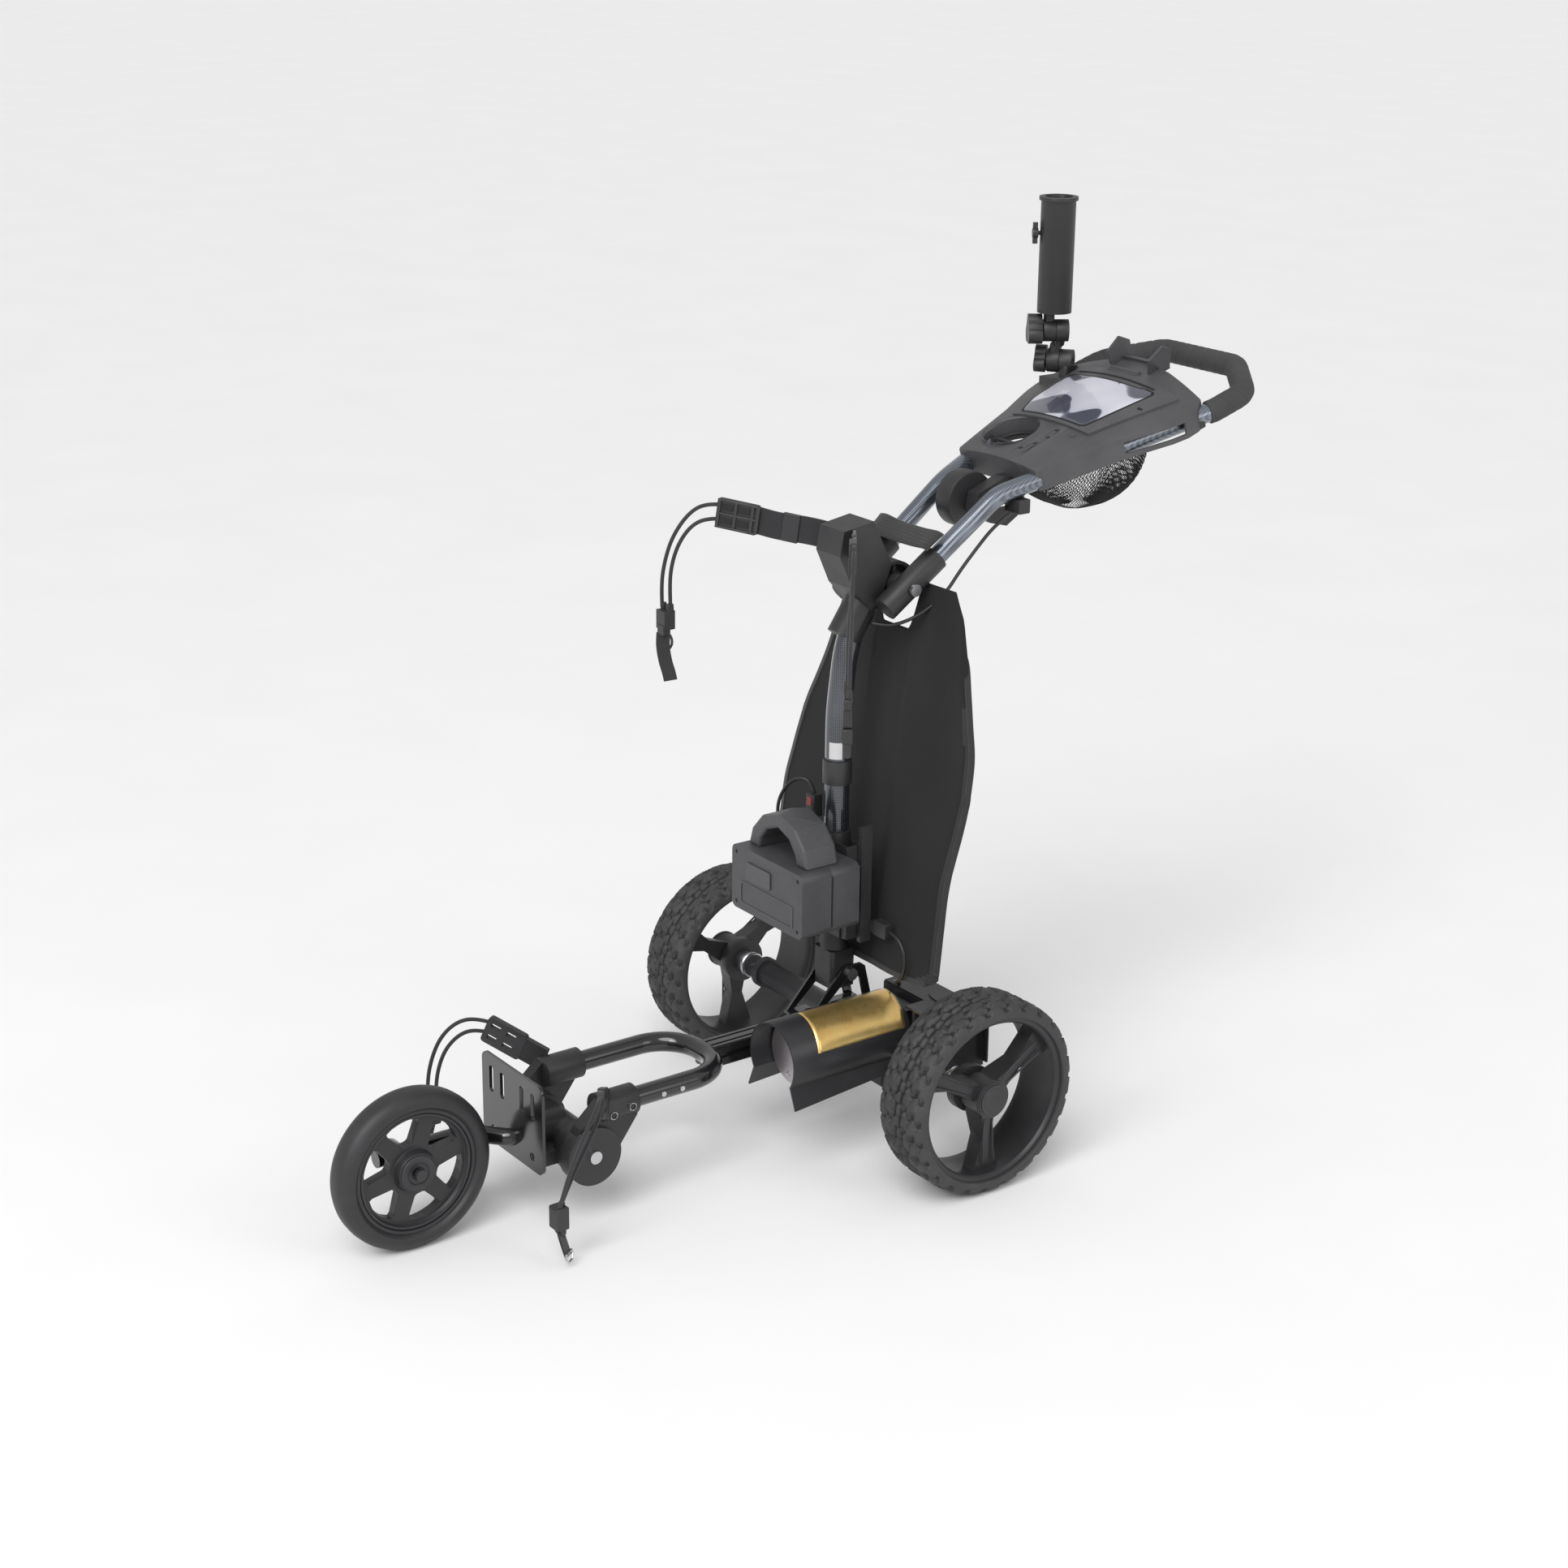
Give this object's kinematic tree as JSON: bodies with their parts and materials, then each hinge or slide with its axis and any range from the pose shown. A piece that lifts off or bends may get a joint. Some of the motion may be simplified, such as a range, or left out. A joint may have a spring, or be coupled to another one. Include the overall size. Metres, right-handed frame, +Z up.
{
  "type": "electric golf trolley",
  "caption": "Folding powered golf trolley with rear drive wheels, front wheel, mast-mounted battery, console handle, umbrella holder and bag straps; shown with no bag.",
  "frame": {"origin": "middle of the footprint's box, on the ground", "axes": "+Z up, +Y to the rear where the user walks, front wheel towards -Y, +X towards the trolley's left, the side that carries the motor"},
  "size_m": [0.658, 1.4622, 1.264],
  "materials": {
    "tyre_rubber": "moulded, matte",
    "rim_plastic": "satin moulded",
    "black_gloss": "gloss powder coat",
    "black_satin": "satin powder coat",
    "moulded_black": "fine moulded texture",
    "dark_grey": "fine moulded texture",
    "carbon_tube": "twill pattern under clear coat",
    "steel": "bright",
    "motor_steel": "satin",
    "copper_core": "wound core",
    "cell_pack": "wrapped cells",
    "grip_foam": "wrapped, matte",
    "webbing": "woven",
    "panel_fabric": "woven canvas",
    "net_mesh": "open mesh",
    "cable_rubber": "smooth",
    "elastic_cord": "smooth"
  },
  "bodies": {
    "chassis": {"axle_tube": "black_satin", "gearbox_housing": "moulded_black", "motor_can": "motor_steel", "motor_cover": "black_satin", "rear_deck": "black_satin", "boom": "black_gloss", "u_loop": "black_gloss", "front_housings": "moulded_black", "lower_bag_arms": "moulded_black", "frame_fasteners": "steel", "mast_hinge_plates": "black_gloss", "lower_cords": "elastic_cord", "lower_strap_ends": "moulded_black", "motor_lead": "cable_rubber"},
    "rear_wheel_left": {"rear_tyre_left": "tyre_rubber", "rear_rim_left": "rim_plastic"},
    "rear_wheel_right": {"rear_tyre_right": "tyre_rubber", "rear_rim_right": "rim_plastic"},
    "drive_train": {"drive_shaft": "steel"},
    "motor_armature": {"motor_rotor": "copper_core"},
    "front_assembly": {"front_hinge_block": "moulded_black", "bag_rest_plate": "black_gloss", "front_stem": "black_gloss", "front_axle": "steel"},
    "front_wheel": {"front_tyre": "tyre_rubber", "front_rim": "rim_plastic"},
    "mast": {"mast_tube": "carbon_tube", "mast_sleeve": "moulded_black", "battery_bracket": "moulded_black", "upper_housing": "moulded_black", "upper_bag_arms": "webbing", "back_panel": "panel_fabric", "lead_sockets": "moulded_black", "handle_pivot_bolt": "steel", "upper_cords": "elastic_cord", "upper_strap_ends": "moulded_black"},
    "battery": {"battery_case_front": "dark_grey", "battery_case_rear": "dark_grey", "battery_cells": "cell_pack", "battery_handle": "dark_grey", "battery_plug": "moulded_black", "battery_lead": "cable_rubber"},
    "test_button": {"gauge_button": "moulded_black"},
    "handle": {"handle_grip": "grip_foam", "tube_sleeves": "moulded_black", "handle_frame": "carbon_tube", "top_strap": "webbing", "console_body": "dark_grey", "rear_saddle": "dark_grey", "drum_bracket": "moulded_black", "net_basket": "net_mesh", "umbrella_clamp": "moulded_black", "handset_cable": "cable_rubber"},
    "lid": {"console_lid": "dark_grey"},
    "drum": {"thumb_drum": "moulded_black"},
    "umbrella_knuckle": {"umbrella_link": "moulded_black"},
    "umbrella_holder": {"umbrella_socket": "moulded_black"},
    "lower_knob": {"tilt_knob_lower": "moulded_black"},
    "upper_knob": {"tilt_knob_upper": "moulded_black"},
    "clamp_screw": {"wing_screw": "moulded_black"}
  },
  "joints": [
    {"name": "rear_left_spin", "type": "hinge", "parent": "chassis", "child": "rear_wheel_left", "pos_m": [0.285, 0.0945, 0.14], "axis": [1, 0, 0], "continuous": true},
    {"name": "rear_right_spin", "type": "hinge", "parent": "chassis", "child": "rear_wheel_right", "pos_m": [-0.285, 0.0945, 0.14], "axis": [1, 0, 0], "continuous": true},
    {"name": "rotor_spin", "type": "hinge", "parent": "chassis", "child": "motor_armature", "pos_m": [0.09, 0.0345, 0.165], "axis": [0, 1, 0], "continuous": true},
    {"name": "shaft_spin", "type": "hinge", "parent": "chassis", "child": "drive_train", "pos_m": [0, 0.0945, 0.14], "axis": [1, 0, 0], "continuous": true},
    {"name": "front_fold", "type": "hinge", "parent": "chassis", "child": "front_assembly", "pos_m": [0, -0.3945, 0.099], "axis": [1, 0, 0], "range_deg": [0, 150]},
    {"name": "front_wheel_spin", "type": "hinge", "parent": "front_assembly", "child": "front_wheel", "pos_m": [0, -0.6205, 0.112], "axis": [1, 0, 0], "continuous": true},
    {"name": "mast_fold", "type": "hinge", "parent": "chassis", "child": "mast", "pos_m": [0, 0.0745, 0.225], "axis": [1, 0, 0], "range_deg": [0, 32], "deforming": ["motor_lead"]},
    {"name": "battery_lift", "type": "slide", "parent": "mast", "child": "battery", "axis": [0, 0, 1], "range_m": [0, 0.08]},
    {"name": "test_button_press", "type": "slide", "parent": "battery", "child": "test_button", "axis": [0, 1, 0], "range_m": [0, 0.0015], "stiffness_N_per_m": 400, "springref_m": -0.001},
    {"name": "handle_fold", "type": "hinge", "parent": "mast", "child": "handle", "pos_m": [0, 0.1375, 0.788], "axis": [1, 0, 0], "range_deg": [0, 38], "deforming": ["handset_cable"]},
    {"name": "lid_open", "type": "hinge", "parent": "handle", "child": "lid", "pos_m": [0, 0.56732, 1.03115], "axis": [-1, 0, 0], "range_deg": [0, 70]},
    {"name": "drum_turn", "type": "hinge", "parent": "handle", "child": "drum", "pos_m": [-0.01, 0.2845, 0.88], "axis": [1, 0, 0], "range_deg": [-135, 135]},
    {"name": "umbrella_swing", "type": "hinge", "parent": "handle", "child": "umbrella_knuckle", "pos_m": [-0.122, 0.5525, 1.026], "axis": [0.7844, 0.6203, 0], "range_deg": [-45, 0]},
    {"name": "umbrella_tilt", "type": "hinge", "parent": "umbrella_knuckle", "child": "umbrella_holder", "pos_m": [-0.12, 0.5385, 1.072], "axis": [0.5593, 0.829, 0], "range_deg": [-45, 30]},
    {"name": "lower_knob_turn", "type": "hinge", "parent": "umbrella_knuckle", "child": "lower_knob", "pos_m": [-0.122, 0.5525, 1.026], "axis": [0.7844, 0.6203, 0], "continuous": true},
    {"name": "upper_knob_turn", "type": "hinge", "parent": "umbrella_holder", "child": "upper_knob", "pos_m": [-0.12, 0.5385, 1.072], "axis": [0.5593, 0.829, 0], "continuous": true},
    {"name": "wing_screw_turn", "type": "hinge", "parent": "umbrella_holder", "child": "clamp_screw", "pos_m": [-0.12, 0.5345, 1.212], "axis": [0.5593, 0.829, 0], "continuous": true}
  ],
  "couplings": [
    {"joint": "shaft_spin", "follows": "rotor_spin", "ratio": 0.041667}
  ]
}
